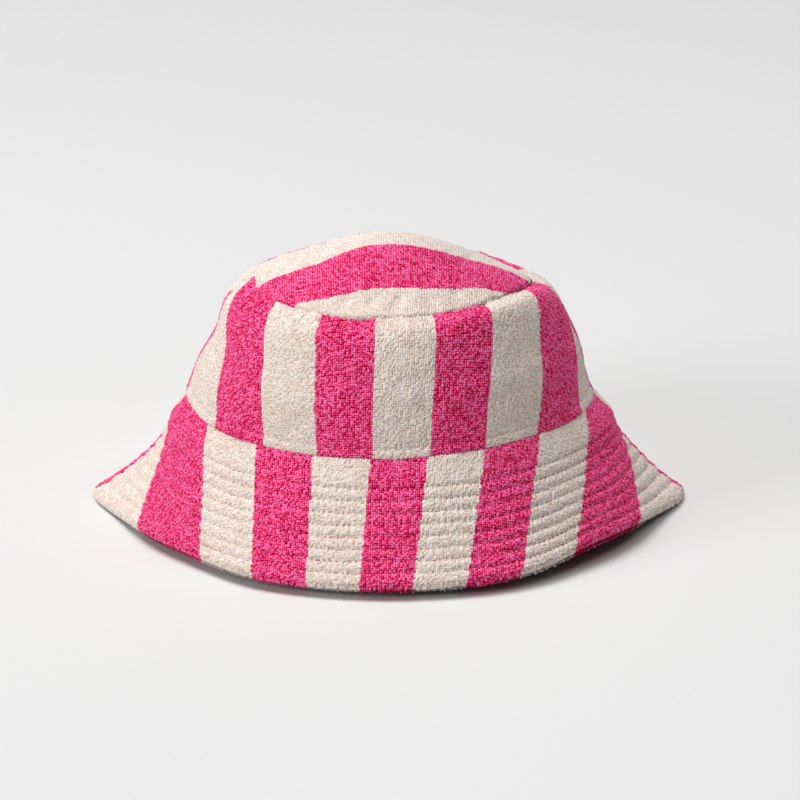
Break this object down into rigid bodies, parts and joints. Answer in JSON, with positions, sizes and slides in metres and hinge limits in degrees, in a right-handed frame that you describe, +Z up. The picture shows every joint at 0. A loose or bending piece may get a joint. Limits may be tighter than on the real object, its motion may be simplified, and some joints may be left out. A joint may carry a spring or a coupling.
{
  "type": "bucket hat",
  "caption": "Towelling bucket hat in wide stripes, with a domed tip, tapering crown, quilted sloping brim, lining and sweatband.",
  "frame": {"origin": "on the hat's axis, in the plane that the brim's edge rests on", "axes": "+Z up along the hat's axis, towards the tip; -Y is the hat's front and +Y its back, where the labels are; the side seams are at -X and +X"},
  "size_m": [0.277, 0.277, 0.1325],
  "materials": {
    "towelling_crown": "looped pile in wide pink and cream stripes",
    "towelling_brim": "looped pile in wide pink and cream stripes, quilted",
    "brim_interlining": "stiff nonwoven",
    "lining": "plain cotton weave",
    "sweatband": "cotton twill band",
    "label": "woven satin",
    "thread_pink": "spun polyester thread",
    "thread_cream": "spun polyester thread"
  },
  "bodies": {
    "hat": {"tip_outer": "towelling_crown", "side_panel_front": "towelling_crown", "side_panel_back": "towelling_crown", "brim_top_front": "towelling_brim", "brim_top_back": "towelling_brim", "brim_interlining_front": "brim_interlining", "brim_interlining_back": "brim_interlining", "brim_under_front": "towelling_brim", "brim_under_back": "towelling_brim", "tip_lining": "lining", "side_lining_front": "lining", "side_lining_back": "lining", "sweatband": "sweatband", "size_label": "label", "brim_quilting_thread": "thread_pink", "crown_topstitch_thread": "thread_cream", "tip_seam_thread": "thread_cream", "side_seam_thread": "thread_cream", "sweatband_thread": "thread_cream", "size_label_thread": "thread_cream"},
    "care_label": {"care_label": "label"}
  },
  "joints": [
    {"name": "care_label_swing", "type": "hinge", "parent": "hat", "child": "care_label", "pos_m": [0, 0.06239, 0.10571], "axis": [-1, 0, 0], "range_deg": [-30, 90]}
  ]
}
